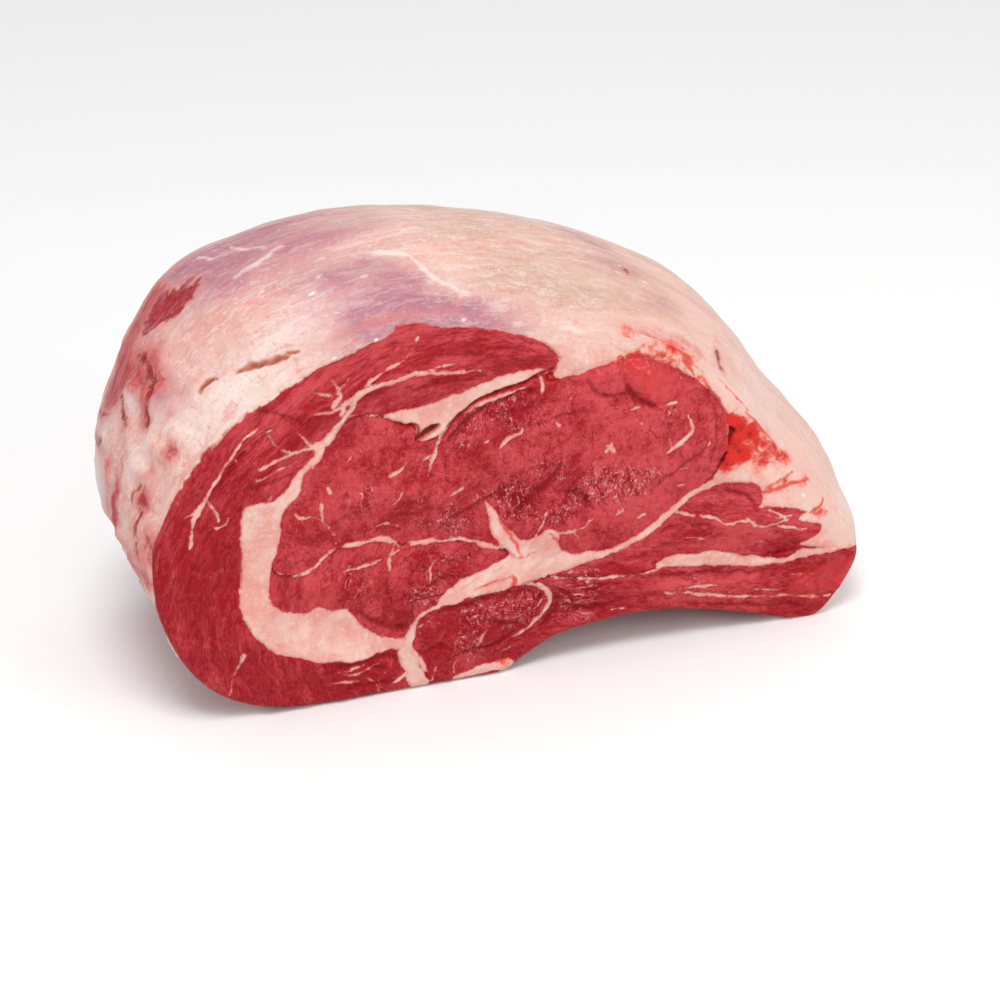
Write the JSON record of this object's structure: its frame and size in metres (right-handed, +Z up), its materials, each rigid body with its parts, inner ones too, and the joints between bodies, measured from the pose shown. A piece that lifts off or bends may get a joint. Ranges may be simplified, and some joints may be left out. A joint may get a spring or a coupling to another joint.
{
  "type": "raw beef rib roast",
  "caption": "Short raw rib joint standing on its chine side and rib tips, with two cut faces, a domed fat cap and a low rib arch beneath.",
  "frame": {"origin": "centre of the joint's bounding box, at the surface it rests on", "axes": "+X from the chine side to the rib tips, +Y from the shown cut face to the far one, +Z up towards the fat cap"},
  "size_m": [0.2646, 0.1024, 0.1557],
  "materials": {
    "raw_beef": "moist raw meat with pale fat seams, marbling and a thick pale fat cap"
  },
  "bodies": {
    "root": {"roast": "raw_beef"}
  },
  "joints": []
}
